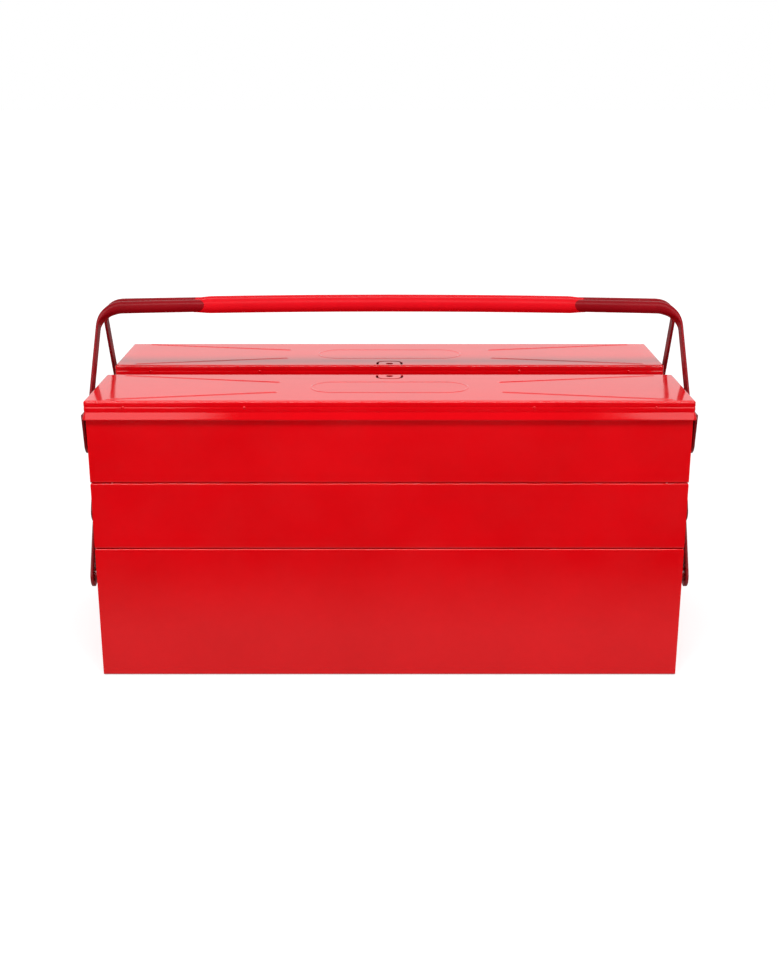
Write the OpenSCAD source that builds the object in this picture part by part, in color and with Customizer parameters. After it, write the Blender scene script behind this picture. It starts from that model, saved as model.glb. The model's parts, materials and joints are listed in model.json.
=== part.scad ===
// Cantilever tool box in sheet steel: a base, two mid trays, two lidded top trays and two handles.
// Origin: middle of the base's underside. X runs along the box, the front is -Y, and Z is up.
// The rear half is the front half turned half a turn about Z.

/* [Base] */
// Length of the base and the trays, outside
body_l = 530; // [480:1:620]
// Depth of the base, front to back
base_d = 244; // [226:1:290]
// Height of the base
base_h = 124.2; // [110:0.2:150]
// Thickness of the sheet
sheet = 1; // [0.8:0.1:1.3]
// Outside radius of the folded bends
bend_r = 2; // [1.5:0.1:4]
// Height of the hem that doubles each rim
hem_h = 8; // [5:0.5:12]
// Width of the welding flanges of the end panels
weld_flange = 10; // [6:1:14]

/* [Trays] */
// Depth of one tray, front to back
tray_d = 101.3; // [94:0.1:108]
// Height of a mid tray
mid_tray_h = 61.3; // [56:0.1:66]
// Height of a top tray
top_tray_h = 62.5; // [60:0.1:66]
// Gap between a rim and the tray above it
stack_gap = 0.5; // [0.3:0.1:1.2]

/* [Lids] */
// Height of a lid, from its lower edge to its top face
lid_h = 17; // [15:0.5:20]
// How far the lid's lower band stands out from the tray
lid_overhang = 3.2; // [3:0.1:4]
// How far the lid's upper part stands out from the tray
lid_shoulder = 1.3; // [1.3:0.1:1.6]
// Height of the flared lower band
band_h = 5.7; // [5:0.1:6.5]
// Outside radius of the lid's top bend
lid_bend_r = 3.5; // [2.5:0.5:4]
// Height of the stiffening beads
bead_h = 0.6; // [0.3:0.1:0.9]
// Width of a stiffening bead
bead_w = 3.6; // [3:0.1:5]
// Length of the plain panel between the beads
panel_l = 144; // [100:1:170]
// Width of the plain panel between the beads
panel_w = 43; // [32:1:50]
// Width of the padlock tab, outside its slit
tab_w = 25.6; // [22:0.2:30]
// Length of the padlock tab, from the lid's inner bend
tab_l = 15.8; // [13:0.1:20]
// Width of the slit round the padlock tab
slit_w = 2.3; // [1.6:0.1:3]
// Diameter of the padlock hole
padlock_hole_d = 7; // [5:0.5:8]

/* [Arms] */
// Depth of the lowest arm pivots below the rim of the base
pivot_drop = 30; // [26:0.5:36]
// Distance of the outer pivots from the front of the base
pivot_inset = 15; // [14:0.5:17]
// How far an arm leans inwards over one tray, when closed
arm_lean = 34; // [32:0.5:35]
// Width of a long arm
long_arm_w = 22; // [18:0.5:22]
// Width of a short arm
short_arm_w = 19; // [16:0.5:19]
// Thickness of a long arm
long_arm_t = 2.5; // [2:0.1:2.8]
// Thickness of a short arm
short_arm_t = 2; // [1.5:0.1:2.1]
// Distance of the short arms from the end panel
short_arm_gap = 0.7; // [0.6:0.05:0.9]
// Distance of the long arms from the end panel
long_arm_gap = 4.5; // [4.4:0.1:4.8]
// Diameter of the pivot rivets
rivet_d = 6; // [5:0.5:7]
// Diameter of the rivet heads
rivet_head_d = 11; // [10:0.5:12]
// Height of the rivet heads
rivet_head_h = 1.2; // [0.9:0.1:1.3]
// Diameter of the spacers round the rivets
spacer_d = 13; // [12:0.5:14]

/* [Lid hinges] */
// Distance of the lid hinge from the front of the tray
hinge_inset = 23; // [22.5:0.5:24]
// Depth of the lid hinge below the lid's lower edge
hinge_drop = 24.6; // [24.2:0.1:25.4]
// Thickness of a hinge ear
ear_t = 2.4; // [2:0.1:2.6]
// Radius of a hinge ear round its rivet
ear_r = 12; // [11:0.5:12]
// Width of a hinge ear where it is welded to the lid
ear_top_w = 32; // [26:1:34]

/* [Handles] */
// Distance of the handle pivot from the front of the tray
handle_inset = 56; // [52:0.5:60]
// Depth of the handle pivot below the lid's lower edge
handle_drop = 11.6; // [11:0.1:13]
// Height of the grip bars' middle above the lids
handle_rise = 64; // [55:1:80]
// Diameter of the handle tube
tube_d = 11.5; // [10:0.1:13]
// Radius of the handle's corners, to the middle of the tube
corner_r = 21; // [18:1:30]
// Thickness of the flattened legs
leg_t = 2.6; // [2.2:0.1:3]
// Width of the flattened legs
leg_w = 13; // [11:0.5:14]
// Inward slant of the legs, in degrees
leg_splay_deg = 1.7; // [0:0.1:2]
// Length of the taper from tube to flat leg
leg_taper = 14; // [10:1:20]
// Length of the grip
grip_l = 366; // [300:2:400]
// Thickness of the grip shell
grip_t = 1.2; // [0.8:0.1:1.6]
// Length of the taper at each end of the grip
grip_taper = 12; // [6:1:20]

/* [Clearances] */
// Clearance round a rivet in a part that turns on it
running_clear = 0.08; // [0.04:0.01:0.1]
// Clearance round a rivet in a part that it is set in
set_clear = 0.05; // [0.02:0.01:0.1]
// Clearance between faces that move past each other
side_clear = 0.3; // [0.2:0.05:0.4]

/* [Hidden] */
$fn = 96;
ENDS = ["left", "right"];

paint = [0.85, 0.03, 0.06];
paint_dark = [0.62, 0.02, 0.05];
steel = [0.72, 0.72, 0.74];

half_l = body_l / 2;
front_y = -base_d / 2;
tray_inner_y = front_y + tray_d;
mid_tray_z = base_h + stack_gap;
top_tray_z = mid_tray_z + mid_tray_h + stack_gap;
rim_z = top_tray_z + top_tray_h;
lid_z = rim_z + side_clear + sheet - band_h;
lid_top_z = lid_z + lid_h;
lid_front_y = front_y - lid_overhang;
lid_rear_y = tray_inner_y + lid_overhang;
lid_mid_y = (lid_front_y + lid_rear_y) / 2;
lid_half_l = half_l + lid_overhang;

// Pivots of the arms, as [y, z]
pivot_z = base_h - pivot_drop;
tray_pitch = mid_tray_h + stack_gap;
outer_y = front_y + pivot_inset;
mid_y = outer_y + arm_lean;
inner_y = mid_y + arm_lean;
mid_z = pivot_z + tray_pitch;
top_z = mid_z + tray_pitch;
BASE_LONG = [outer_y, pivot_z];
MID_LONG = [mid_y, mid_z];
TOP_LONG = [inner_y, top_z];
BASE_SHORT = [mid_y, pivot_z];
MID_SHORT_LOW = [inner_y, mid_z];
MID_SHORT_HIGH = [outer_y, mid_z];
TOP_SHORT = [mid_y, top_z];
LID_HINGE = [front_y + hinge_inset, lid_z - hinge_drop];
HANDLE_PIVOT = [front_y + handle_inset, lid_z - handle_drop];

// Places along X of what is riveted to an end panel
short_arm_x = half_l + short_arm_gap;
long_arm_x = half_l + long_arm_gap;
ear_x = lid_half_l;
ear_weld_gap = 3.4;
leg_x = ear_x + ear_t + rivet_head_h + 3 * side_clear;
inner_head_h = 1;
head_top_ratio = 0.6;

// The stiffening beads' ends, measured from the lid's middle
bead_from_panel = 30;
bead_from_panel_edge = 2.2;
bead_end_inset = 19;
bead_side_inset = 4.6;
bead_in_x = panel_l / 2 + bead_from_panel;
bead_in_y = panel_w / 2 - bead_from_panel_edge;
bead_out_x = half_l - bead_end_inset;
bead_out_y = tray_d / 2 - bead_side_inset;

// The padlock tab, cut free by its slit and still joined at the lid's inner bend
tab_root_y = lid_rear_y - lid_overhang + lid_shoulder - lid_bend_r;
tab_corner_r = 8.5;
hole_land = 0.5;
padlock_hole_y = tab_root_y - padlock_hole_d / 2 - hole_land;

// The handle, in its own plane: the pivot at its origin and the bar above it
bars_apart = 0.7;
grip_y = -(tube_d + bars_apart) / 2;
grip_z = lid_top_z + handle_rise;
handle_lean = atan((grip_y - HANDLE_PIVOT[0]) / (grip_z - HANDLE_PIVOT[1]));
handle_h = norm([grip_y - HANDLE_PIVOT[0], grip_z - HANDLE_PIVOT[1]]);
leg_l = (handle_h - corner_r * (1 - sin(leg_splay_deg))) / cos(leg_splay_deg);
leg_mid_x = leg_x + leg_t / 2;
bar_half_l = leg_mid_x - leg_l * sin(leg_splay_deg) - corner_r * cos(leg_splay_deg);
grip_r = tube_d / 2 + set_clear + grip_t;
grip_edge_t = 0.2;
joint_lap = 0.5;
corner_swell = 0.06;

// Turns a drawing in the Y-Z plane into a plate that starts at x and is t thick
module plate_yz(x, t) {
    translate([x, 0, 0]) rotate([90, 0, 90]) linear_extrude(t) children();
}

// A rod along X from x0 to x1, round the point at = [y, z]
module rod_x(at, r, x0, x1) {
    translate([x0, at[0], at[1]]) rotate([0, 90, 0]) cylinder(h = x1 - x0, r = r);
}

// A box given by its lowest and highest corners
module box(low, high) {
    translate(low) cube(high - low);
}

// Draws the right end, and its mirror image for the left
module end_of(side) {
    mirror([side == "left" ? 1 : 0, 0, 0]) children();
}

// Draws the front half, turned half a turn for the rear
module row_of(row) {
    rotate([0, 0, row == "rear" ? 180 : 0]) children();
}

// The same end of the box for both rows, because the half turn swaps left and right
function seen_end(row, side) = (row == "rear") == (side == "left") ? "right" : "left";

// Section of an open-topped box, with round bends at its lower corners
module trough_area(y0, y1, z0, z1, r) {
    translate([y0, z0 + r]) square([y1 - y0, z1 - z0 - r]);
    translate([y0 + r, z0]) square([y1 - y0 - 2 * r, r]);
    translate([y0 + r, z0 + r]) circle(r);
    translate([y1 - r, z0 + r]) circle(r);
}

// Folded sheet: floor, front wall and rear wall, with hemmed rims
module wrap_section(y0, y1, z0, z1) {
    difference() {
        trough_area(y0, y1, z0, z1 - sheet, bend_r);
        trough_area(y0 + sheet, y1 - sheet, z0 + sheet, z1 + sheet, bend_r - sheet);
    }
    for (y = [y0, y1 - 2 * sheet])
        translate([y, z1 - hem_h]) square([2 * sheet, hem_h - sheet]);
    for (y = [y0 + sheet, y1 - sheet])
        translate([y, z1 - sheet]) circle(sheet);
}

module wrap(y0, y1, z0, z1) {
    x = half_l - sheet;
    plate_yz(-x, 2 * x) wrap_section(y0, y1, z0, z1);
}

// Pressed end panel: it closes the wrap, with welding flanges that lie inside it and a hemmed rim
module end_panel(y0, y1, z0, z1, holes) {
    x = half_l - sheet;
    flange_y0 = y0 + sheet;
    flange_y1 = y1 - sheet;
    flange_z = z0 + sheet;
    flange_top = z1 - hem_h - sheet;
    difference() {
        union() {
            plate_yz(x, sheet) trough_area(y0, y1, z0, z1 - sheet, bend_r);
            translate([half_l - sheet, y0 + sheet, z1 - sheet]) rotate([-90, 0, 0])
                cylinder(h = y1 - y0 - 2 * sheet, r = sheet);
            box([x - sheet, y0 + 2 * sheet, z1 - hem_h], [x, y1 - 2 * sheet, z1 - sheet]);
            plate_yz(x - weld_flange, weld_flange) difference() {
                trough_area(flange_y0, flange_y1, flange_z, flange_top, bend_r - sheet);
                trough_area(flange_y0 + sheet, flange_y1 - sheet, flange_z + sheet,
                    flange_top + sheet, sheet / 2);
            }
        }
        for (at = holes) rod_x(at, rivet_d / 2 + set_clear, x - 2 * sheet, half_l + sheet);
    }
}

// A rivet from inside the end panel to a bevelled head outside what it holds
module rivet(at, x_out) {
    x_in = half_l - sheet;
    rim_h = rivet_head_h / 3;
    rod_x(at, rivet_d / 2, x_in - inner_head_h / 2, x_out + rim_h);
    rod_x(at, rivet_head_d / 2, x_in - inner_head_h, x_in);
    rod_x(at, rivet_head_d / 2, x_out, x_out + rim_h);
    translate([x_out + rim_h, at[0], at[1]]) rotate([0, 90, 0])
        cylinder(h = rivet_head_h - rim_h, d1 = rivet_head_d, d2 = rivet_head_d * head_top_ratio);
}

// A spacer round a rivet, from the end panel out to x_out
module spacer(at, x_out) {
    difference() {
        rod_x(at, spacer_d / 2, half_l, x_out);
        rod_x(at, rivet_d / 2 + set_clear, half_l - sheet, x_out + sheet);
    }
}

module both_ends() {
    for (side = ENDS) end_of(side) children();
}

// An arm with round ends, and a bore at each pivot
module arm(x, t, w, pivots) {
    first = pivots[0];
    last = pivots[len(pivots) - 1];
    run = norm(last - first);
    turn = atan2(last[1] - first[1], last[0] - first[0]);
    translate([x, first[0], first[1]]) rotate([turn, 0, 0]) difference() {
        union() {
            translate([0, 0, -w / 2]) cube([t, run, w]);
            for (y = [0, run]) rod_x([y, 0], w / 2, 0, t);
        }
        for (at = pivots) rod_x([norm(at - first), 0], rivet_d / 2 + running_clear, -t, 2 * t);
    }
}

module long_arm(side) {
    color(paint_dark) end_of(side)
        arm(long_arm_x, long_arm_t, long_arm_w, [BASE_LONG, MID_LONG, TOP_LONG]);
}

module short_arm(side, pivots) {
    color(paint_dark) end_of(side) arm(short_arm_x, short_arm_t, short_arm_w, pivots);
}

module base_wrap() {
    color(paint) wrap(front_y, -front_y, 0, base_h);
}

module base_end(side) {
    holes = [for (s = [1, -1]) for (at = [BASE_LONG, BASE_SHORT]) [s * at[0], at[1]]];
    color(paint) end_of(side) end_panel(front_y, -front_y, 0, base_h, holes);
}

module base_spacers() {
    color(paint_dark) for (row = ["front", "rear"]) row_of(row) both_ends() {
        spacer(BASE_LONG, long_arm_x - side_clear);
        spacer(BASE_SHORT, short_arm_x - side_clear);
    }
}

module base_rivets() {
    color(steel) for (row = ["front", "rear"]) row_of(row) both_ends() {
        rivet(BASE_LONG, long_arm_x + long_arm_t + side_clear);
        rivet(BASE_SHORT, short_arm_x + short_arm_t + side_clear);
    }
}

module mid_tray_wrap() {
    color(paint) wrap(front_y, tray_inner_y, mid_tray_z, mid_tray_z + mid_tray_h);
}

module mid_tray_end(side) {
    color(paint) end_of(side) end_panel(front_y, tray_inner_y, mid_tray_z,
        mid_tray_z + mid_tray_h, [MID_LONG, MID_SHORT_LOW, MID_SHORT_HIGH]);
}

module mid_tray_spacers() {
    color(paint_dark) both_ends() {
        spacer(MID_LONG, long_arm_x - side_clear);
        spacer(MID_SHORT_LOW, short_arm_x - side_clear);
        spacer(MID_SHORT_HIGH, short_arm_x - side_clear);
    }
}

module mid_tray_rivets() {
    color(steel) both_ends() {
        rivet(MID_LONG, long_arm_x + long_arm_t + side_clear);
        rivet(MID_SHORT_LOW, short_arm_x + short_arm_t + side_clear);
        rivet(MID_SHORT_HIGH, short_arm_x + short_arm_t + side_clear);
    }
}

module top_tray_wrap() {
    color(paint) wrap(front_y, tray_inner_y, top_tray_z, rim_z);
}

module top_tray_end(side) {
    color(paint) end_of(side) end_panel(front_y, tray_inner_y, top_tray_z, rim_z,
        [TOP_LONG, TOP_SHORT, LID_HINGE, HANDLE_PIVOT]);
}

module top_tray_spacers() {
    color(paint_dark) both_ends() {
        spacer(TOP_LONG, long_arm_x - side_clear);
        spacer(TOP_SHORT, short_arm_x - side_clear);
        spacer(LID_HINGE, ear_x - side_clear);
        spacer(HANDLE_PIVOT, leg_x - side_clear);
    }
}

module top_tray_rivets() {
    color(steel) both_ends() {
        rivet(TOP_LONG, long_arm_x + long_arm_t + side_clear);
        rivet(TOP_SHORT, short_arm_x + short_arm_t + side_clear);
    }
}

module lid_rivets() {
    color(steel) both_ends() rivet(LID_HINGE, ear_x + ear_t + side_clear);
}

module handle_rivets() {
    color(steel) both_ends() rivet(HANDLE_PIVOT, leg_x + leg_t + side_clear);
}

// Outline of a rounded rectangle round the middle of the lid
module lid_outline(half_x, half_y, r) {
    square([2 * (half_x - r), 2 * half_y], center = true);
    square([2 * half_x, 2 * (half_y - r)], center = true);
    for (x = [-1, 1]) for (y = [-1, 1])
        translate([x * (half_x - r), y * (half_y - r)]) circle(r);
}

// A block with a rounded plan, set back by inset all round
module lid_block(z0, z1, out, inset, r) {
    half_x = half_l + out - inset;
    half_y = tray_d / 2 + out - inset;
    translate([0, lid_mid_y, z0]) linear_extrude(z1 - z0) lid_outline(half_x, half_y, r);
}

// The lid's outer form, with a round bend along its four top edges
module lid_form(out, inset, z0, z1, r) {
    half_x = half_l + out - inset;
    half_y = tray_d / 2 + out - inset;
    lid_block(z0, z1 - r, out, inset, r);
    lid_block(z1 - r, z1, out, inset + r, sheet / 2);
    for (y = [-1, 1])
        rod_x([lid_mid_y + y * (half_y - r), z1 - r], r, -half_x + r, half_x - r);
    for (x = [-1, 1])
        translate([x * (half_x - r), lid_mid_y - half_y + r, z1 - r]) rotate([-90, 0, 0])
            cylinder(h = 2 * (half_y - r), r = r);
    for (x = [-1, 1]) for (y = [-1, 1])
        translate([x * (half_x - r), lid_mid_y + y * (half_y - r), z1 - r]) sphere(r);
}

// A straight bead on the lid's top, between two points measured from the lid's middle
module bead(from, to) {
    r = (pow(bead_w / 2, 2) + pow(bead_h, 2)) / (2 * bead_h);
    run = norm(to - from);
    turn = atan2(to[1] - from[1], to[0] - from[0]);
    translate([from[0], lid_mid_y + from[1], lid_top_z]) rotate([0, 0, turn]) intersection() {
        translate([0, 0, bead_h - r]) rotate([0, 90, 0]) cylinder(h = run, r = r);
        translate([0, -bead_w / 2, -sheet / 2]) cube([run, bead_w, sheet / 2 + bead_h]);
    }
}

// A flat-topped stadium ring, as the plain panel's border
module panel_ring() {
    ring_w = 2.4;
    translate([0, lid_mid_y, lid_top_z - sheet / 2]) linear_extrude(sheet / 2 + bead_h / 2)
        difference() {
            stadium(panel_l, panel_w);
            stadium(panel_l - 2 * ring_w, panel_w - 2 * ring_w);
        }
}

module stadium(l, w) {
    square([l - w, w], center = true);
    for (x = [-1, 1]) translate([x * (l - w) / 2, 0]) circle(w / 2);
}

// The U-shaped slit that frees the padlock tab, open towards the lid's inner edge
module tab_slit() {
    translate([0, tab_root_y, lid_top_z - 2 * sheet]) linear_extrude(4 * sheet) difference() {
        tab_outline(tab_w / 2, tab_l, tab_corner_r);
        tab_outline(tab_w / 2 - slit_w, tab_l - slit_w, tab_corner_r - slit_w);
    }
}

module tab_outline(half_w, l, r) {
    translate([-half_w, r - l]) square([2 * half_w, l - r]);
    translate([-half_w + r, -l]) square([2 * (half_w - r), r]);
    for (x = [-1, 1]) translate([x * (half_w - r), r - l]) circle(r);
}

module lid_shell() {
    color(paint) difference() {
        union() {
            lid_form(lid_shoulder, 0, lid_z + band_h - sheet, lid_top_z, lid_bend_r);
            lid_block(lid_z, lid_z + band_h, lid_overhang, 0, lid_bend_r);
            for (x = [-1, 1]) for (y = [-1, 1])
                bead([x * bead_in_x, y * bead_in_y], [x * bead_out_x, y * bead_out_y]);
            panel_ring();
        }
        lid_form(lid_shoulder, sheet, lid_z, lid_top_z - sheet, lid_bend_r - sheet);
        lid_block(lid_z - sheet, lid_z + band_h - sheet, lid_overhang, sheet, lid_bend_r - sheet);
        tab_slit();
        translate([0, padlock_hole_y, lid_top_z - 2 * sheet])
            cylinder(h = 4 * sheet, d = padlock_hole_d);
    }
}

module lid_ear(side) {
    y = LID_HINGE[0];
    z = LID_HINGE[1];
    half_w = ear_top_w / 2;
    weld_top = lid_z + band_h - ear_weld_gap;
    color(paint_dark) end_of(side) difference() {
        plate_yz(ear_x, ear_t) {
            polygon([[y - ear_r, z], [y + ear_r, z], [y + half_w, lid_z],
                [y + half_w, weld_top], [y - half_w, weld_top], [y - half_w, lid_z]]);
            translate(LID_HINGE) circle(ear_r);
        }
        rod_x(LID_HINGE, rivet_d / 2 + running_clear, ear_x - ear_t, ear_x + 2 * ear_t);
    }
}

// Draws in the handle's own plane, from its pivot
module in_handle_plane() {
    translate([0, HANDLE_PIVOT[0], HANDLE_PIVOT[1]]) rotate([-handle_lean, 0, 0]) children();
}

// A flat leg with a round eye, which swells into the round tube at its top
module flat_leg() {
    flat_l = leg_l - leg_taper;
    taper_l = leg_taper + joint_lap;
    cone_d = norm([leg_w, leg_t]);
    translate([leg_mid_x, 0, 0]) rotate([0, -leg_splay_deg, 0]) difference() {
        union() {
            translate([-leg_t / 2, -leg_w / 2, 0]) cube([leg_t, leg_w, flat_l]);
            translate([-leg_t / 2, 0, 0]) rotate([0, 90, 0]) cylinder(h = leg_t, d = leg_w);
            translate([0, 0, flat_l]) intersection() {
                cylinder(h = taper_l, d1 = cone_d, d2 = tube_d);
                translate([0, leg_w, 0]) rotate([90, 0, 0]) linear_extrude(2 * leg_w)
                    polygon([[-leg_t / 2, 0], [leg_t / 2, 0],
                        [tube_d / 2, taper_l], [-tube_d / 2, taper_l]]);
            }
        }
        translate([-leg_t, 0, 0]) rotate([0, 90, 0])
            cylinder(h = 2 * leg_t, r = rivet_d / 2 + running_clear);
    }
}

// The bent corner swells a little, so that the leg ends inside it
module bent_corner() {
    translate([bar_half_l, 0, handle_h - corner_r]) rotate([90, 0, 0])
        rotate([0, 0, leg_splay_deg]) rotate_extrude(angle = 90 - leg_splay_deg)
        translate([corner_r, 0]) circle(tube_d / 2 + corner_swell);
}

module handle_leg(side) {
    color(paint) in_handle_plane() end_of(side) {
        flat_leg();
        bent_corner();
    }
}

// The straight bar meets the bent corners face to face
module handle_bar() {
    color(paint) in_handle_plane() rod_x([0, handle_h], tube_d / 2, -bar_half_l, bar_half_l);
}

// Half shell round the outer side of the tube, cut flat where the two handles meet
module handle_grip() {
    at = [grip_y, grip_z];
    inner_r = tube_d / 2 + set_clear;
    straight = grip_l / 2 - grip_taper;
    color(paint) difference() {
        union() {
            rod_x(at, grip_r, -straight, straight);
            both_ends() translate([straight, grip_y, grip_z]) rotate([0, 90, 0])
                cylinder(h = grip_taper, r1 = grip_r, r2 = inner_r + grip_edge_t);
        }
        rod_x(at, inner_r, -grip_l, grip_l);
        box([-grip_l, grip_y + tube_d / 2, grip_z - tube_d], [grip_l, -grip_y, grip_z + tube_d]);
    }
}

base_wrap();
base_end("left");  // base_end_left
base_end("right");  // base_end_right
base_spacers();
base_rivets();
for (row = ["front", "rear"]) {
    row_of(row) mid_tray_wrap();
    row_of(row) mid_tray_spacers();
    row_of(row) mid_tray_rivets();
    row_of(row) top_tray_wrap();
    row_of(row) top_tray_spacers();
    row_of(row) top_tray_rivets();
    row_of(row) lid_rivets();
    row_of(row) handle_rivets();
    row_of(row) lid_shell();
    row_of(row) handle_bar();
    row_of(row) handle_grip();
    for (side = ENDS) {
        end = seen_end(row, side);
        row_of(row) long_arm(end);
        row_of(row) short_arm(end, [BASE_SHORT, MID_SHORT_LOW]);
        row_of(row) short_arm(end, [MID_SHORT_HIGH, TOP_SHORT]);
        row_of(row) mid_tray_end(end);
        row_of(row) top_tray_end(end);
        row_of(row) lid_ear(end);
        row_of(row) handle_leg(end);
    }
}
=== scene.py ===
import json
import math

import bmesh
import bpy
from mathutils import Matrix, Vector
from mathutils.geometry import delaunay_2d_cdt


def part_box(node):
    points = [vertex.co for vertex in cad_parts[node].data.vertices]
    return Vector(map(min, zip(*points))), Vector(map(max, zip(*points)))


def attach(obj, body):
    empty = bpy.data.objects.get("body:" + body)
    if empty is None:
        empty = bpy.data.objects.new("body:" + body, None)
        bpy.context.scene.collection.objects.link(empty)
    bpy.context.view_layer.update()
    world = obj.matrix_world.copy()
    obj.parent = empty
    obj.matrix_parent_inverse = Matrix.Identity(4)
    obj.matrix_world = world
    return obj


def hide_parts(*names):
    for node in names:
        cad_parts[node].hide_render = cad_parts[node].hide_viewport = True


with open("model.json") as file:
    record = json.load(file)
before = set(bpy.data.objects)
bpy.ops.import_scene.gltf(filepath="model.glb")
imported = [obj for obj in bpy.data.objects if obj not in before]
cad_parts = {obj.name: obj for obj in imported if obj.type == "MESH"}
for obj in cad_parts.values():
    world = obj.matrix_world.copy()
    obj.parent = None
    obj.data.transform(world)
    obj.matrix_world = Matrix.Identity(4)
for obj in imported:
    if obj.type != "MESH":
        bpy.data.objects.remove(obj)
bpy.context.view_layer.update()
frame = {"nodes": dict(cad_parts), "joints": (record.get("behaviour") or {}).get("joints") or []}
nodes = frame["nodes"]
ROWS = ("front", "rear")
MM = 0.001


# ---------------------------------------------------------------- places, in millimetres, read from the frame
def mm_box(name):
    low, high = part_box(name)
    return [v / MM for v in low], [v / MM for v in high]


def joint_place(name):
    joint = [j for j in frame["joints"] if j["name"] == name][0]
    return joint["pos_m"][1] / MM, joint["pos_m"][2] / MM


tray_low, tray_high = mm_box("front_top_tray_wrap")
lid_low, lid_high = mm_box("front_lid_shell")
BEAD_H = 0.6
SHEET = 1.0
HALF_L = tray_high[0] + SHEET
LID_Z = lid_low[2]
LID_TOP = lid_high[2] - BEAD_H
SHOULDER = 1.3
BEND_R = 2.3
TRAY_MID_Y = (tray_low[1] + tray_high[1]) / 2
TRAY_HALF_Y = (tray_high[1] - tray_low[1]) / 2
HANDLE = joint_place("front_handle_swing")
RIVET_R = 5.5
RIVET_H = 1.2
SHANK_R = 3.0


# ---------------------------------------------------------------- node helpers
def new_material(name):
    material = bpy.data.materials.new(name)
    material.use_nodes = True
    tree = material.node_tree
    tree.nodes.clear()
    out = tree.nodes.new("ShaderNodeOutputMaterial")
    shader = tree.nodes.new("ShaderNodeBsdfPrincipled")
    tree.links.new(shader.outputs[0], out.inputs["Surface"])
    return material, tree, shader


def noise(tree, scale, detail=2.0, rough=0.5, stretch=None):
    place = tree.nodes.new("ShaderNodeTexCoord").outputs["Object"]
    if stretch:
        mapping = tree.nodes.new("ShaderNodeMapping")
        mapping.inputs["Scale"].default_value = stretch
        tree.links.new(place, mapping.inputs["Vector"])
        place = mapping.outputs["Vector"]
    node = tree.nodes.new("ShaderNodeTexNoise")
    node.inputs["Scale"].default_value = scale
    node.inputs["Detail"].default_value = detail
    node.inputs["Roughness"].default_value = rough
    tree.links.new(place, node.inputs["Vector"])
    return node.outputs["Fac"]


def ramp(tree, value, stops):
    node = tree.nodes.new("ShaderNodeValToRGB")
    elements = node.color_ramp.elements
    elements[0].position, elements[0].color = stops[0][0], (*stops[0][1], 1)
    elements[1].position, elements[1].color = stops[-1][0], (*stops[-1][1], 1)
    for at, colour in stops[1:-1]:
        elements.new(at).color = (*colour, 1)
    tree.links.new(value, node.inputs["Fac"])
    return node.outputs["Color"]


def remap(tree, value, low, high, start=0.0, end=1.0):
    node = tree.nodes.new("ShaderNodeMapRange")
    node.inputs["From Min"].default_value = start
    node.inputs["From Max"].default_value = end
    node.inputs["To Min"].default_value = low
    node.inputs["To Max"].default_value = high
    tree.links.new(value, node.inputs["Value"])
    return node.outputs["Result"]


def mix_colour(tree, factor, first, second, kind="MIX"):
    node = tree.nodes.new("ShaderNodeMix")
    node.data_type = "RGBA"
    node.blend_type = kind
    for socket, value in ((node.inputs[0], factor), (node.inputs[6], first), (node.inputs[7], second)):
        if hasattr(value, "node"):
            tree.links.new(value, socket)
        else:
            socket.default_value = value if isinstance(value, float) else (*value, 1)
    return node.outputs[2]


def math_node(tree, kind, first, second=None):
    node = tree.nodes.new("ShaderNodeMath")
    node.operation = kind
    for socket, value in ((node.inputs[0], first), (node.inputs[1], second)):
        if hasattr(value, "node"):
            tree.links.new(value, socket)
        elif value is not None:
            socket.default_value = value
    return node.outputs[0]


def bumps(tree, shader, layers):
    last = None
    for value, strength, distance in layers:
        node = tree.nodes.new("ShaderNodeBump")
        node.inputs["Strength"].default_value = strength
        node.inputs["Distance"].default_value = distance
        tree.links.new(value, node.inputs["Height"])
        if last:
            tree.links.new(last, node.inputs["Normal"])
        last = node.outputs["Normal"]
    tree.links.new(last, shader.inputs["Normal"])


def gloss_paint(name, deep, bright, rough_low, rough_high, wave=0.0, shine=0.5):
    """Sprayed enamel: faint drift of the colour and the gloss, fine specks, orange peel and a slight wave."""
    material, tree, shader = new_material(name)
    drift = noise(tree, 9.0, 3.0, 0.55)
    fine = noise(tree, 160.0, 2.0)
    base = mix_colour(tree, remap(tree, drift, 0.0, 1.0, 0.3, 0.7), deep, bright)
    specks = ramp(tree, fine, [(0.0, (0.94, 0.94, 0.94)), (1.0, (1.0, 1.0, 1.0))])
    base = mix_colour(tree, 1.0, base, specks, "MULTIPLY")
    tree.links.new(base, shader.inputs["Base Color"])
    smudge = noise(tree, 26.0, 4.0, 0.6)
    tree.links.new(remap(tree, smudge, rough_low, rough_high, 0.35, 0.7), shader.inputs["Roughness"])
    shader.inputs["IOR"].default_value = 1.5
    shader.inputs["Specular IOR Level"].default_value = shine
    peel = noise(tree, 420.0, 1.0)
    ripple = noise(tree, 34.0, 1.0)
    bumps(tree, shader, [(peel, 0.04, 0.0002), (ripple, wave, 0.0009)])
    return material


def zinc_steel(name):
    """Bright zinc plate over turned steel: fine streaks, a faint warm and cool drift, soft marks."""
    material, tree, shader = new_material(name)
    streaks = noise(tree, 900.0, 3.0, 0.6, (1.0, 0.25, 0.25))
    drift = noise(tree, 120.0, 2.0)
    tone = ramp(tree, drift, [(0.3, (0.50, 0.51, 0.53)), (0.5, (0.62, 0.62, 0.62)), (0.7, (0.60, 0.58, 0.53))])
    dark = ramp(tree, streaks, [(0.2, (0.80, 0.80, 0.80)), (0.8, (1.0, 1.0, 1.0))])
    tree.links.new(mix_colour(tree, 1.0, tone, dark, "MULTIPLY"), shader.inputs["Base Color"])
    shader.inputs["Metallic"].default_value = 1.0
    tree.links.new(remap(tree, streaks, 0.24, 0.42), shader.inputs["Roughness"])
    bumps(tree, shader, [(streaks, 0.12, 0.0001)])
    return material


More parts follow.
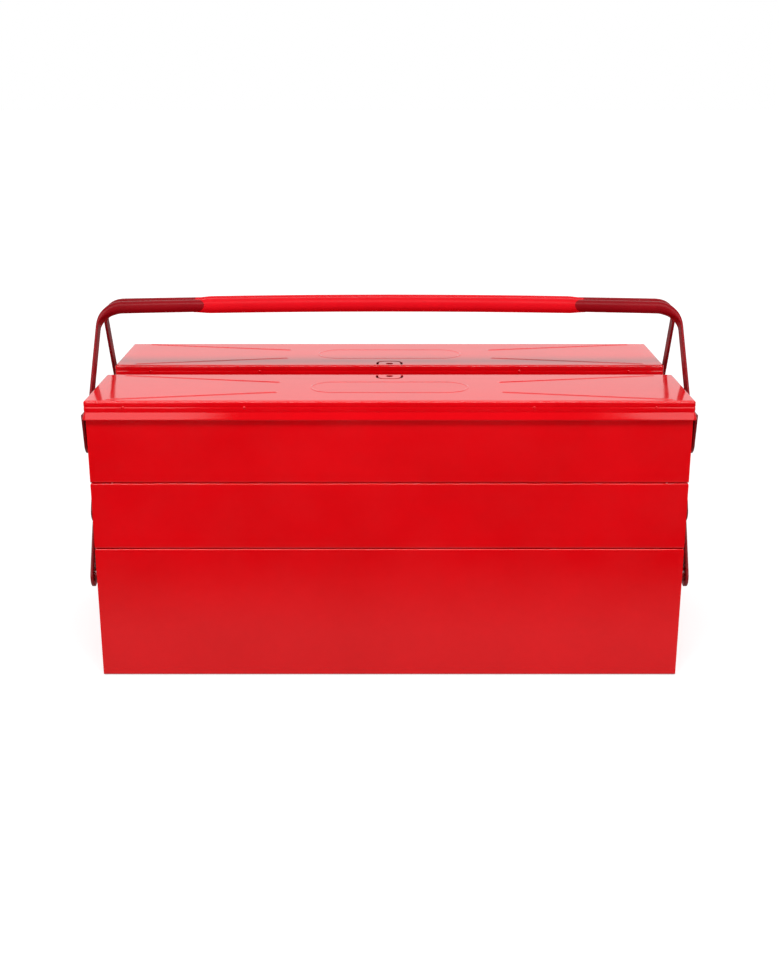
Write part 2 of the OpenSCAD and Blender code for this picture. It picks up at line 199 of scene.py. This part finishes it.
BODY_PAINT = gloss_paint("red_enamel", (0.71, 0.0004, 0.0030), (0.79, 0.0008, 0.0044),
                         0.11, 0.17, wave=0.02)
LID_PAINT = gloss_paint("red_enamel_lid", (0.73, 0.0006, 0.0040), (0.81, 0.0010, 0.0056),
                        0.09, 0.14, wave=0.015)
# Arms, lid ears and spacers: the body's red darkened to a deep maroon as painted shade, for the shade under the lids
# and at the ends
ARM_PAINTED_SHADE = gloss_paint("red_enamel_arms_painted_shade", (0.20, 0.0006, 0.0022), (0.27, 0.0010, 0.0032),
                        0.22, 0.32, wave=0.01)
TUBE_PAINT = gloss_paint("red_enamel_tube", (0.23, 0.0008, 0.0046), (0.29, 0.0014, 0.0064),
                         0.34, 0.42, shine=0.1)
GRIP_PAINT = gloss_paint("red_enamel_grip", (0.66, 0.0020, 0.0080), (0.76, 0.0030, 0.0110),
                         0.36, 0.46, shine=0.08)
ZINC = zinc_steel("zinc_plate")


# ---------------------------------------------------------------- mesh helpers
def paint_on(obj, material):
    obj.data.materials.clear()
    obj.data.materials.append(material)


def make_piece(name, bm, material, body, row, replaced, sharp_deg=40):
    """Turns a mesh in millimetres, drawn for the front row, into a piece of either row."""
    bm.normal_update()
    bmesh.ops.recalc_face_normals(bm, faces=bm.faces)
    mesh = bpy.data.meshes.new(name)
    turn = Matrix.Rotation(math.pi, 4, "Z") if row == "rear" else Matrix.Identity(4)
    bm.transform(turn @ Matrix.Scale(MM, 4))
    bm.to_mesh(mesh)
    bm.free()
    mesh.polygons.foreach_set("use_smooth", [True] * len(mesh.polygons))
    mesh.set_sharp_from_angle(angle=math.radians(sharp_deg))
    obj = bpy.data.objects.new(name, mesh)
    bpy.context.scene.collection.objects.link(obj)
    paint_on(obj, material)
    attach(obj, body)
    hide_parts(*replaced)


def bridge(bm, first, second):
    count = len(first)
    for i in range(count):
        j = (i + 1) % count
        bm.faces.new((first[i], first[j], second[j], second[i]))


def ring_of(bm, points):
    return [bm.verts.new(p) for p in points]


# ---------------------------------------------------------------- lids
CORNER_STEPS = 6


def lid_loop(out, z):
    """Rounded rectangle round the lid, out millimetres outside the tray, at height z."""
    centre_x = HALF_L + SHOULDER - BEND_R
    centre_y = TRAY_HALF_Y + SHOULDER - BEND_R
    r = max(out - SHOULDER + BEND_R, 0.03)
    points = []
    for k, (sx, sy) in enumerate(((1, 1), (-1, 1), (-1, -1), (1, -1))):
        for i in range(CORNER_STEPS + 1):
            a = math.pi / 2 * (k + i / CORNER_STEPS)
            points.append((sx * centre_x + r * math.cos(a), TRAY_MID_Y + sy * centre_y + r * math.sin(a), z))
    return points


def capsule(start, end, away, steps):
    """Closed outline at a distance from a straight line."""
    start, end = Vector(start), Vector(end)
    turn = math.atan2(end.y - start.y, end.x - start.x)
    points = []
    for centre, begin in ((end, -math.pi / 2), (start, math.pi / 2)):
        for i in range(steps + 1):
            a = turn + begin + math.pi * i / steps
            points.append((centre.x + away * math.cos(a), centre.y + away * math.sin(a)))
    return points


def line_distance(x, y, start, end):
    ax, ay = start
    dx, dy = end[0] - ax, end[1] - ay
    t = max(0.0, min(1.0, ((x - ax) * dx + (y - ay) * dy) / (dx * dx + dy * dy)))
    return math.hypot(x - ax - t * dx, y - ay - t * dy)


# The plain panel's border is a ring at PANEL_R round the line from -PANEL_HALF to PANEL_HALF
PANEL_HALF = 50.5
PANEL_R = 20.3
RING_HALF_W = 1.3
RING_H = 0.32
BEAD_HALF_W = 2.5
BEAD_IN = (102.0, 19.3)
BEAD_OUT = (246.0, 46.05)
BEADS = [((sx * BEAD_IN[0], TRAY_MID_Y + sy * BEAD_IN[1]), (sx * BEAD_OUT[0], TRAY_MID_Y + sy * BEAD_OUT[1]))
         for sx in (-1, 1) for sy in (-1, 1)]
TAB_ROOT = TRAY_MID_Y + TRAY_HALF_Y - 2.2
TAB_HALF = 12.8
TAB_LEN = 15.8
TAB_CORNER_R = 8.5
SLIT = 2.3
EDGE_LAP = 0.02
HOLE_R = 3.5
HOLE_LAND = 0.5
HOLE_Y = TAB_ROOT - HOLE_R - HOLE_LAND


def tab_line(half, length, r, steps=6):
    """Half of the slit's edge: down one side, round the end, and up the other."""
    points = [(-half, TAB_ROOT - EDGE_LAP)]
    for centre_x, begin in ((-half + r, math.pi), (half - r, 1.5 * math.pi)):
        for i in range(steps + 1):
            a = begin + math.pi / 2 * i / steps
            points.append((centre_x + r * math.cos(a), TAB_ROOT - length + r + r * math.sin(a)))
    points.append((half, TAB_ROOT - EDGE_LAP))
    return points


SLIT_EDGE = (tab_line(TAB_HALF, TAB_LEN, TAB_CORNER_R)
             + tab_line(TAB_HALF - SLIT, TAB_LEN - SLIT, TAB_CORNER_R - SLIT)[::-1])
HOLE_TURNS = [2 * math.pi * i / 32 for i in range(32)]
HOLE_EDGE = [(HOLE_R * math.cos(a), HOLE_Y + HOLE_R * math.sin(a)) for a in HOLE_TURNS]


def inside(x, y, outline):
    hit = False
    for (x0, y0), (x1, y1) in zip(outline, outline[1:] + outline[:1]):
        if (y0 > y) != (y1 > y) and x < (x1 - x0) * (y - y0) / (y1 - y0) + x0:
            hit = not hit
    return hit


def rise(x, y):
    """Height of the pressed beads and the panel's border above the lid's top."""
    h = 0.0
    for start, end in BEADS:
        d = line_distance(x, y, start, end)
        if d < BEAD_HALF_W:
            h = max(h, BEAD_H * 0.5 * (1 + math.cos(math.pi * d / BEAD_HALF_W)))
    d = abs(line_distance(x, y, (-PANEL_HALF, TRAY_MID_Y), (PANEL_HALF, TRAY_MID_Y)) - PANEL_R)
    if d < RING_HALF_W:
        h = max(h, RING_H * 0.5 * (1 + math.cos(math.pi * d / RING_HALF_W)))
    return h


def lid_plate():
    """Flat top of the lid as triangles that follow every pressed line, without the slit and the hole."""
    points, loops = [], []

    def add(outline, closed=True):
        first = len(points)
        points.extend(Vector((p[0], p[1])) for p in outline)
        count = len(outline)
        loops.extend((first + i, first + (i + 1) % count) for i in range(count if closed else count - 1))

    add([(p[0], p[1]) for p in lid_loop(SHOULDER - BEND_R, 0)])
    for start, end in BEADS:
        for share in (1.5, 1.0, 0.8, 0.6, 0.4, 0.2):
            add(capsule(start, end, BEAD_HALF_W * share, 6))
        add([start, end], False)
    for away in (-1.5, -1.0, -0.7, -0.35, 0, 0.35, 0.7, 1.0, 1.5):
        add(capsule((-PANEL_HALF, TRAY_MID_Y), (PANEL_HALF, TRAY_MID_Y), PANEL_R + RING_HALF_W * away, 28))
    add(SLIT_EDGE)
    add(HOLE_EDGE)
    out, _, faces, _, _, _ = delaunay_2d_cdt(points, loops, [], 0, 1e-4)
    kept = []
    for face in faces:
        x = sum(out[i].x for i in face) / 3
        y = sum(out[i].y for i in face) / 3
        if not inside(x, y, SLIT_EDGE) and not inside(x, y, HOLE_EDGE):
            kept.append(tuple(face))
    return out, kept, 4 * (CORNER_STEPS + 1)


PLATE = lid_plate()
# The lid's wall, as distance outside the tray and height above the lid's lower edge: from the top bend down two
# shallow grooves to the flared band, round its edge, and up the inside
WALL = [(1.27, 14.5), (1.18, 14.1), (1.24, 13.5), (1.3, 13.0), (1.28, 12.6), (1.16, 12.1), (1.08, 11.7),
        (1.1, 11.4), (1.2, 10.9), (1.29, 10.4), (1.3, 10.0), (1.3, 8.6), (1.27, 8.0), (1.16, 7.3), (1.12, 6.9),
        (1.15, 6.6), (1.32, 6.1), (1.62, 5.3), (2.9, 1.7), (3.1, 1.0), (3.16, 0.6), (3.12, 0.3), (2.98, 0.08),
        (2.75, 0.0), (2.4, 0.1), (2.2, 0.4), (1.95, 1.1), (0.75, 4.9), (0.4, 5.7), (0.3, 6.3), (0.3, 14.4)]
BEND_STEPS = 8
INNER_BEND_STEPS = 5
WELD_X = (-232, -126, 126, 232)
WELD_Z = 10.9
WELD_SINK = 0.1


def weld_dimple(bm, x, y, z, sign, r=1.5, h=0.5, steps=14):
    """Small raised spot on the wall that faces along Y."""
    last = None
    for away, size in ((0, 1.0), (0.35, 0.92), (0.75, 0.66), (0.95, 0.35), (1.0, 0.08)):
        ring = ring_of(bm, [(x + r * size * math.cos(2 * math.pi * i / steps), y + sign * h * away,
                             z + r * size * math.sin(2 * math.pi * i / steps)) for i in range(steps)])
        if last:
            bridge(bm, last, ring)
        else:
            bm.faces.new(ring)
        last = ring
    bm.faces.new(last)


def lid(row):
    bm = bmesh.new()
    flat, triangles, count = PLATE
    rings = []
    for i in range(1, BEND_STEPS):
        a = math.pi / 2 * (1 - i / BEND_STEPS)
        rings.append(lid_loop(SHOULDER - BEND_R + BEND_R * math.cos(a), LID_TOP - BEND_R + BEND_R * math.sin(a)))
    rings += [lid_loop(out, LID_Z + z) for out, z in WALL]
    inner_r = BEND_R - SHEET
    for i in range(1, INNER_BEND_STEPS):
        a = math.pi / 2 * i / INNER_BEND_STEPS
        rings.append(lid_loop(SHOULDER - BEND_R + inner_r * math.cos(a), LID_TOP - BEND_R + inner_r * math.sin(a)))
    top = [bm.verts.new((p.x, p.y, LID_TOP + rise(p.x, p.y))) for p in flat]
    under = [bm.verts.new((p.x, p.y, LID_TOP - SHEET + rise(p.x, p.y))) for p in flat]
    open_edges = {}
    for a, b, c in triangles:
        bm.faces.new((top[a], top[b], top[c]))
        bm.faces.new((under[c], under[b], under[a]))
        for i, j in ((a, b), (b, c), (c, a)):
            key = (min(i, j), max(i, j))
            open_edges[key] = open_edges.get(key, 0) + 1
    rim = {(min(i, (i + 1) % count), max(i, (i + 1) % count)) for i in range(count)}
    for (i, j), uses in open_edges.items():
        if uses == 1 and (i, j) not in rim:
            bm.faces.new((top[i], top[j], under[j], under[i]))
    last = top[:count]
    for points in rings:
        ring = ring_of(bm, points)
        bridge(bm, last, ring)
        last = ring
    bridge(bm, last, under[:count])
    for x in WELD_X:
        for sign in (-1, 1):
            weld_dimple(bm, x, TRAY_MID_Y + sign * (TRAY_HALF_Y + SHOULDER - WELD_SINK), LID_Z + WELD_Z, sign)
    bmesh.ops.delete(bm, geom=[v for v in bm.verts if not v.link_faces], context="VERTS")
    make_piece(row + "_lid_pressing", bm, LID_PAINT, row + "_lid", row, [row + "_lid_shell"], 32)


# ---------------------------------------------------------------- handles
TUBE_R = 5.75
LEG_T = 2.6
LEG_W = 13.0
LEG_GAP = 0.3
CORNER_R = 21.0
SPLAY = math.radians(1.7)
STRIP_POWER = 5.0
ROUND_POWER = 2.0
FOOT_STEPS = 7
LEG_STEPS = 8
CORNER_STATIONS = 14
BAR_STEPS = 8
BOW_DROP = 2.3
BOW_AT = 210
GRIP_HALF_L = 183.0
GRIP_T = 1.22
GRIP_EDGE_T = 0.12
GRIP_TAPER = 16
GRIP_TAPER_STEPS = 10
GRIP_SIDES = 40


def handle_places():
    """The leg's middle along X, the bar's place, and the handle's lean and reach from its pivot."""
    bar_low, bar_high = mm_box("front_handle_bar")
    _, rivet_high = mm_box("front_handle_rivets")
    bar_y = (bar_low[1] + bar_high[1]) / 2
    bar_z = (bar_low[2] + bar_high[2]) / 2
    lean = math.atan((bar_y - HANDLE[0]) / (bar_z - HANDLE[1]))
    reach = math.hypot(bar_y - HANDLE[0], bar_z - HANDLE[1])
    return rivet_high[0] - RIVET_H - LEG_GAP - LEG_T / 2, bar_y, bar_z, lean, reach


LEG_X, BAR_Y, BAR_Z, LEAN, REACH = handle_places()
LEG_LEN = (REACH - CORNER_R * (1 - math.sin(SPLAY))) / math.cos(SPLAY)
BAR_HALF = LEG_X - LEG_LEN * math.sin(SPLAY) - CORNER_R * math.cos(SPLAY)
SECTION = 28


def section(half_thick, half_wide, power):
    """Superellipse, from the tube's circle to the leg's rounded strip: across the handle's plane, and along Y."""
    points = []
    for i in range(SECTION):
        a = 2 * math.pi * i / SECTION
        c, s = math.cos(a), math.sin(a)
        points.append((half_thick * math.copysign(abs(c) ** (2 / power), c),
                       half_wide * math.copysign(abs(s) ** (2 / power), s)))
    return points


def ease(t):
    t = max(0.0, min(1.0, t))
    return t * t * (3 - 2 * t)


def bow(x):
    """How far the bar hangs below its middle."""
    return BOW_DROP * (x / BOW_AT) ** 2


def handle_stations():
    """Half of the handle, from under the pivot to the middle of the bar: place, outward direction, section."""
    stations = []
    up = Vector((-math.sin(SPLAY), 0, math.cos(SPLAY)))
    side = Vector((math.cos(SPLAY), 0, math.sin(SPLAY)))
    foot = Vector((LEG_X, 0, 0))
    half_w = LEG_W / 2
    for i in range(FOOT_STEPS):
        a = math.pi / 2 * (1 - i / FOOT_STEPS)
        stations.append((foot - up * half_w * math.sin(a) * 0.999, side, LEG_T / 2,
                         max(half_w * math.cos(a), 0.4), STRIP_POWER))
    for i in range(LEG_STEPS + 1):
        t = i / LEG_STEPS
        stations.append((foot + up * (LEG_LEN - 3) * t, side, LEG_T / 2, half_w, STRIP_POWER))
    centre = Vector((BAR_HALF, 0, REACH - CORNER_R))
    for i in range(CORNER_STATIONS + 1):
        t = i / CORNER_STATIONS
        a = SPLAY + (math.pi / 2 - SPLAY) * t
        out = Vector((math.cos(a), 0, math.sin(a)))
        k = ease((t - 0.02) / 0.8)
        power = STRIP_POWER + (ROUND_POWER - STRIP_POWER) * ease(t * 1.6)
        stations.append((centre + out * CORNER_R, out, LEG_T / 2 + (TUBE_R - LEG_T / 2) * k,
                         half_w + (TUBE_R - half_w) * k, power))
    for i in range(1, BAR_STEPS + 1):
        place = Vector((BAR_HALF * (1 - i / BAR_STEPS), 0, REACH))
        stations.append((place, Vector((0, 0, 1)), TUBE_R, TUBE_R, ROUND_POWER))
    return stations


def to_handle(p):
    """From the handle's own plane to the closed box, where the bar bows down a little to its ends."""
    p = Vector((p.x, p.y, p.z - bow(p.x) * ease((p.z - 30) / 60)))
    y = p.y * math.cos(LEAN) + p.z * math.sin(LEAN)
    z = -p.y * math.sin(LEAN) + p.z * math.cos(LEAN)
    return (p.x, HANDLE[0] + y, HANDLE[1] + z)


def handle_tube(row):
    """The bent bar with its two flat legs, as one swept tube."""
    bm = bmesh.new()
    half = handle_stations()
    flip = Vector((-1, 1, 1))
    whole = half + [(p * flip, o * flip, a, b, n) for p, o, a, b, n in half[-2::-1]]
    last = None
    for place, out, thick, wide, power in whole:
        edge = section(thick, wide, power)
        ring = ring_of(bm, [to_handle(place + out * u + Vector((0, v, 0))) for u, v in edge])
        if last:
            bridge(bm, last, ring)
        else:
            bm.faces.new(ring)
        last = ring
    bm.faces.new(last)
    make_piece(row + "_handle_tube", bm, TUBE_PAINT, row + "_handle", row,
               [f"{row}_handle_{kind}" for kind in ("bar", "leg_left", "leg_right")], 50)


def handle_sleeve(row):
    """The grip round the bar, flat where the two handles meet, with tapered ends."""
    bm = bmesh.new()
    full_r = TUBE_R + GRIP_T
    thinned = TUBE_R + GRIP_EDGE_T - full_r
    taper_x = GRIP_HALF_L - GRIP_TAPER
    xs = [(x, full_r) for x in (0, 40, 80, 120, 145, taper_x)]
    for i in range(1, GRIP_TAPER_STEPS + 1):
        t = i / GRIP_TAPER_STEPS
        xs.append((taper_x + GRIP_TAPER * t, full_r + thinned * ease(t)))
    xs = [(-x, r) for x, r in xs[:0:-1]] + xs
    last = first = None
    for x, r in xs:
        points = []
        for i in range(GRIP_SIDES):
            a = 2 * math.pi * i / GRIP_SIDES
            points.append((x, BAR_Y + min(r * math.cos(a), TUBE_R + 0.02), BAR_Z - bow(x) + r * math.sin(a)))
        ring = ring_of(bm, points)
        if last:
            bridge(bm, last, ring)
        else:
            first = ring
        last = ring
    bm.faces.new(first)
    bm.faces.new(last)
    make_piece(row + "_handle_sleeve", bm, GRIP_PAINT, row + "_handle", row, [row + "_handle_grip"], 50)


# ---------------------------------------------------------------- rivets
def islands(obj):
    """Lowest and highest corner of each separate solid of a CAD node, in millimetres."""
    bm = bmesh.new()
    bm.from_mesh(obj.data)
    bmesh.ops.remove_doubles(bm, verts=bm.verts, dist=1e-6)
    left = set(bm.verts)
    found = []
    while left:
        stack = [left.pop()]
        group = []
        while stack:
            v = stack.pop()
            group.append(v.co / MM)
            for e in v.link_edges:
                o = e.other_vert(v)
                if o in left:
                    left.remove(o)
                    stack.append(o)
        axes = list(zip(*group))
        found.append(([min(axis) for axis in axes], [max(axis) for axis in axes]))
    bm.free()
    return sorted(found)


def lathe_x(bm, profile, y, z, sign, steps=28):
    """Turns a profile of (along X, radius) round the axis at y, z; sign gives its direction along X."""
    last = None
    for along, r in profile:
        ring = ring_of(bm, [(sign * along, y + r * math.cos(2 * math.pi * i / steps),
                             z + r * math.sin(2 * math.pi * i / steps)) for i in range(steps)])
        if last:
            bridge(bm, last, ring)
        else:
            bm.faces.new(ring)
        last = ring
    bm.faces.new(last)


def dome(height, r, steps=6):
    """Profile of a ball's cap, from its rim to its top."""
    ball = (r * r + height * height) / (2 * height)
    points = []
    for i in range(steps + 1):
        a = math.asin(min(1, r / ball)) * (1 - i / steps)
        points.append((ball * math.cos(a) - (ball - height), max(ball * math.sin(a), 0.12)))
    return points


def rivets(name, body, row):
    """One piece with a rivet of its own for each solid of the node: inner head, shank and domed outer head."""
    bm = bmesh.new()
    for low, high in islands(nodes[name]):
        sign = 1 if high[0] + low[0] > 0 else -1
        outer = high[0] if sign > 0 else -low[0]
        inner = low[0] if sign > 0 else -high[0]
        y = (low[1] + high[1]) / 2
        z = (low[2] + high[2]) / 2
        seat = outer - RIVET_H
        head = [(seat + 0.02, RIVET_R - 0.5), (seat + 0.1, RIVET_R - 0.12), (seat + 0.3, RIVET_R)]
        head += [(seat + 0.3 + h, r) for h, r in dome(RIVET_H - 0.3, RIVET_R - 0.1)]
        profile = [(inner, 0.4), (inner, 3.4), (inner + 0.25, 4.6), (inner + 0.7, RIVET_R - 0.2),
                   (inner + 1, RIVET_R), (inner + 1, SHANK_R), (seat, SHANK_R)] + head
        lathe_x(bm, profile, y, z, sign)
    if row == "rear":
        bm.transform(Matrix.Rotation(math.pi, 4, "Z"))
    make_piece(name.replace("rivets", "domed_rivets"), bm, ZINC, body, row, [name], 40)


# ---------------------------------------------------------------- plates with softened edges
def softened(name, body, width):
    """A copy of a CAD plate in the arms' red, darkened as painted shade, with its sharp edges bevelled."""
    bm = bmesh.new()
    bm.from_mesh(nodes[name].data)
    bm.transform(Matrix.Scale(1 / MM, 4))
    bmesh.ops.remove_doubles(bm, verts=bm.verts, dist=1e-3)
    bmesh.ops.dissolve_limit(bm, angle_limit=math.radians(0.6), verts=bm.verts, edges=bm.edges)
    edges = [e for e in bm.edges if len(e.link_faces) == 2 and e.calc_face_angle(0) > math.radians(50)]
    bmesh.ops.bevel(bm, geom=edges, offset=width, segments=2, affect="EDGES", profile=0.5, clamp_overlap=True)
    make_piece(name + "_eased", bm, ARM_PAINTED_SHADE, body, "front", [name], 30)


# ---------------------------------------------------------------- build the pieces
for row in ROWS:
    lid(row)
    handle_tube(row)
    handle_sleeve(row)
    for kind, body in (("mid_tray_rivets", "mid_tray"), ("top_tray_rivets", "top_tray"),
                       ("lid_rivets", "top_tray"), ("handle_rivets", "top_tray")):
        rivets(f"{row}_{kind}", f"{row}_{body}", row)
    for side in ("left", "right"):
        for kind in ("long", "lower", "upper"):
            softened(f"{row}_{kind}_arm_{side}", f"{row}_{kind}_arms", 0.35)
        softened(f"{row}_lid_ear_{side}", f"{row}_lid", 0.3)
rivets("base_rivets", "base", "front")

for name, obj in nodes.items():
    # Spacers take the arms' red darkened as painted shade; rivets are zinc, all else the body's red
    paint_on(obj, ZINC if "rivets" in name else ARM_PAINTED_SHADE if "spacers" in name else BODY_PAINT)

# ---------------------------------------------------------------- floor, world and lamps
FLOOR_HALF = 14.0
FLOOR_COLOUR = (0.55, 0.55, 0.55, 1)
scene = bpy.context.scene
floor_mesh = bpy.data.meshes.new("studio_floor")
corners = [(sx * FLOOR_HALF, sy * FLOOR_HALF, 0) for sx, sy in ((-1, -1), (1, -1), (1, 1), (-1, 1))]
floor_mesh.from_pydata(corners, [], [(0, 1, 2, 3)])
floor = bpy.data.objects.new("studio_floor", floor_mesh)
scene.collection.objects.link(floor)
floor.location.z = -0.0005

# Matt grey for the light it gives the part. The camera also sees a glow that grows away from the part, up to the
# white ground. Reflections see black with a glow that is nil in front and grows to 0.4 behind, so the gloss adds
# little to the walls
material = bpy.data.materials.new("studio_floor")
material.use_nodes = True
tree = material.node_tree
tree.nodes.clear()
out = tree.nodes.new("ShaderNodeOutputMaterial")
diffuse = tree.nodes.new("ShaderNodeBsdfDiffuse")
diffuse.inputs["Color"].default_value = FLOOR_COLOUR
glow = tree.nodes.new("ShaderNodeEmission")
rays = tree.nodes.new("ShaderNodeLightPath")
place = tree.nodes.new("ShaderNodeNewGeometry").outputs["Position"]
split = tree.nodes.new("ShaderNodeSeparateXYZ")
tree.links.new(place, split.inputs[0])
glossy_level = remap(tree, split.outputs["Y"], 0.0, 0.4, -0.42, -0.22)
away = tree.nodes.new("ShaderNodeVectorMath")
away.operation = "LENGTH"
tree.links.new(place, away.inputs[0])
camera_level = math_node(tree, "MULTIPLY", rays.outputs["Is Camera Ray"],
                         remap(tree, away.outputs["Value"], 0.58, 1.0, 0.6, 2.4))
glossy_level = math_node(tree, "MULTIPLY", rays.outputs["Is Glossy Ray"], glossy_level)
level = math_node(tree, "ADD", camera_level, glossy_level)
tree.links.new(level, glow.inputs["Strength"])
black = tree.nodes.new("ShaderNodeBsdfDiffuse")
black.inputs["Color"].default_value = (0.0, 0.0, 0.0, 1)
pick = tree.nodes.new("ShaderNodeMixShader")
tree.links.new(rays.outputs["Is Glossy Ray"], pick.inputs[0])
tree.links.new(diffuse.outputs[0], pick.inputs[1])
tree.links.new(black.outputs[0], pick.inputs[2])
add = tree.nodes.new("ShaderNodeAddShader")
tree.links.new(pick.outputs[0], add.inputs[0])
tree.links.new(glow.outputs[0], add.inputs[1])
tree.links.new(add.outputs[0], out.inputs["Surface"])
floor.data.materials.append(material)

# The camera sees white. All else gets a sky that is dark in front and grows brighter behind the part
world = bpy.data.worlds.new("studio")
scene.world = world
world.use_nodes = True
tree = world.node_tree
tree.nodes.clear()
out = tree.nodes.new("ShaderNodeOutputWorld")
background = tree.nodes.new("ShaderNodeBackground")
background.inputs["Color"].default_value = (1, 1, 1, 1)
tree.links.new(background.outputs[0], out.inputs["Surface"])
rays = tree.nodes.new("ShaderNodeLightPath")
split = tree.nodes.new("ShaderNodeSeparateXYZ")
tree.links.new(tree.nodes.new("ShaderNodeTexCoord").outputs["Generated"], split.inputs[0])
around = remap(tree, split.outputs["Y"], 0.06, 1.0, 0.0, 0.65)
see = tree.nodes.new("ShaderNodeMix")
see.data_type = "FLOAT"
tree.links.new(rays.outputs["Is Camera Ray"], see.inputs[0])
tree.links.new(around, see.inputs[2])
see.inputs[3].default_value = 1.0
tree.links.new(see.outputs[0], background.inputs["Strength"])


def lamp(name, place, aim, size, power):
    data = bpy.data.lights.new(name, "AREA")
    data.shape = "RECTANGLE"
    data.size, data.size_y = size
    data.energy = power
    obj = bpy.data.objects.new(name, data)
    scene.collection.objects.link(obj)
    obj.location = place
    obj.rotation_euler = (Vector(aim) - Vector(place)).to_track_quat("-Z", "Y").to_euler()


lamp("overhead", (0, 0.3, 2.3), (0, 0, 0.1), (2.0, 1.4), 3)
lamp("front_top", (0, -1.15, 2.2), (0, -0.1, 0.12), (2.6, 0.7), 54)
lamp("soft_left", (-1.1, -1.8, 0.74), (-0.2, -0.12, 0.25), (1.1, 1.0), 7.5)
lamp("soft_right", (1.3, -1.8, 0.74), (0.2, -0.12, 0.25), (1.1, 1.0), 7.5)

# The photo's camera: focal length in pixels, on a picture 974 pixels high
FOCAL_PX = 1336.27
PICTURE_PX = 974
SENSOR_MM = 36
camera_data = bpy.data.cameras.new("photo_camera")
camera_data.lens = FOCAL_PX * SENSOR_MM / PICTURE_PX
camera = bpy.data.objects.new("photo_camera", camera_data)
camera.location = (0.0, -1.24976, 0.54397)
camera.rotation_euler = (math.radians(72.25), 0, 0)
scene.collection.objects.link(camera)
scene.camera = camera
scene.view_settings.view_transform = "Standard"
